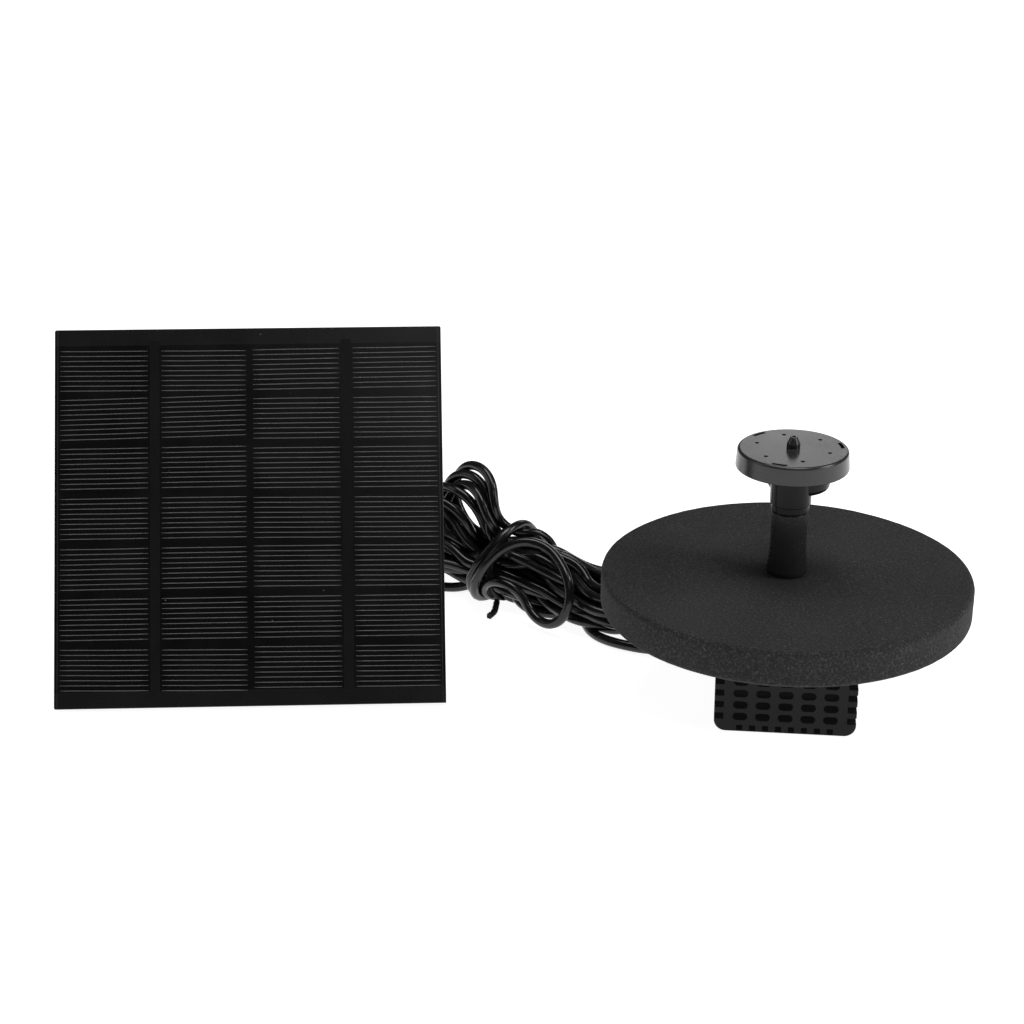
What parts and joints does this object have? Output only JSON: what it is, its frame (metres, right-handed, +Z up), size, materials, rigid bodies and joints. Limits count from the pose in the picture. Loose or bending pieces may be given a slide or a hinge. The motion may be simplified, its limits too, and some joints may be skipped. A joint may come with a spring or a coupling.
{
  "type": "solar fountain pump",
  "caption": "Square solar panel on a folding prop, wired by a tied cable hank to a small submersible pump with strainer, foam float, riser and turning spray head.",
  "frame": {"origin": "on the ground, under the middle of the kit's box without its cable", "axes": "+X runs from the panel to the pump, +Y away from the panel's face and the strainer's face, +Z up"},
  "size_m": [0.2587, 0.1458, 0.0962],
  "materials": {
    "board_black": "satin",
    "panel_face": "gloss",
    "silicon": "satin",
    "ribbon": "satin",
    "case_black": "satin",
    "head_grey": "satin",
    "foam": "matte",
    "cable": "satin",
    "rubber": "matte",
    "steel": "satin",
    "white_ceramic": "satin",
    "ferrite": "matte",
    "copper": "satin",
    "lamination": "satin",
    "circuit_board": "satin",
    "resin": "gloss"
  },
  "bodies": {
    "kit": {"panel_backboard": "board_black", "panel_front_sheet": "panel_face", "solar_cell_01": "silicon", "solar_cell_02": "silicon", "solar_cell_03": "silicon", "solar_cell_04": "silicon", "solar_cell_05": "silicon", "solar_cell_06": "silicon", "solar_cell_07": "silicon", "solar_cell_08": "silicon", "solar_cell_09": "silicon", "solar_cell_10": "silicon", "solar_cell_11": "silicon", "solar_cell_12": "silicon", "solar_cell_13": "silicon", "solar_cell_14": "silicon", "cell_ribbon_left": "ribbon", "cell_ribbon_right": "ribbon", "junction_box": "case_black", "junction_lid": "case_black", "junction_screw_1": "steel", "junction_screw_2": "steel", "blocking_diode": "resin", "panel_cable_gland": "rubber", "prop_bracket": "case_black", "prop_pin": "steel", "pump_housing": "case_black", "impeller_cover": "case_black", "cover_o_ring": "rubber", "pump_shaft": "white_ceramic", "front_shaft_seat": "rubber", "rear_shaft_seat": "rubber", "stator_core": "lamination", "stator_coil_1": "copper", "stator_coil_2": "copper", "stator_coil_3": "copper", "stator_coil_4": "copper", "driver_board": "circuit_board", "hall_sensor": "resin", "potting_resin": "resin", "rear_cover": "case_black", "pump_cable_gland": "rubber", "cord_panel_lead": "cable", "cord_hank": "cable", "cord_pump_lead": "cable", "twist_tie": "rubber"},
    "prop": {"prop_leg": "case_black"},
    "strainer": {"strainer_cover": "case_black"},
    "rotor": {"impeller": "head_grey", "rotor_magnet": "ferrite"},
    "riser": {"riser_tube": "case_black"},
    "float": {"float_disc": "foam"},
    "spray_base": {"spray_dish": "head_grey"},
    "spray_top": {"spray_cap": "head_grey"}
  },
  "joints": [
    {"name": "prop_fold", "type": "hinge", "parent": "kit", "child": "prop", "pos_m": [-0.08053, 0.02784, 0.06231], "axis": [0.9984, 0.0558, 0], "range_deg": [-52, 0]},
    {"name": "strainer_pull", "type": "slide", "parent": "kit", "child": "strainer", "axis": [-0.0872, -0.9962, 0], "range_m": [0, 0.016]},
    {"name": "rotor_spin", "type": "hinge", "parent": "kit", "child": "rotor", "pos_m": [0.0793, -0.0067, 0.0154], "axis": [0.0872, 0.9962, 0], "continuous": true},
    {"name": "riser_lift", "type": "slide", "parent": "kit", "child": "riser", "axis": [0, 0, 1], "range_m": [0, 0.045]},
    {"name": "float_lift", "type": "slide", "parent": "kit", "child": "float", "axis": [0, 0, 1], "range_m": [0, 0.027]},
    {"name": "spray_head_pull", "type": "slide", "parent": "riser", "child": "spray_base", "axis": [0, 0, 1], "range_m": [0, 0.012]},
    {"name": "cap_turn", "type": "hinge", "parent": "spray_base", "child": "spray_top", "pos_m": [0.0782, -0.0066, 0.0749], "axis": [0, 0, 1], "continuous": true}
  ],
  "couplings": [
    {"joint": "float_lift", "follows": "riser_lift", "ratio": 0.6}
  ]
}
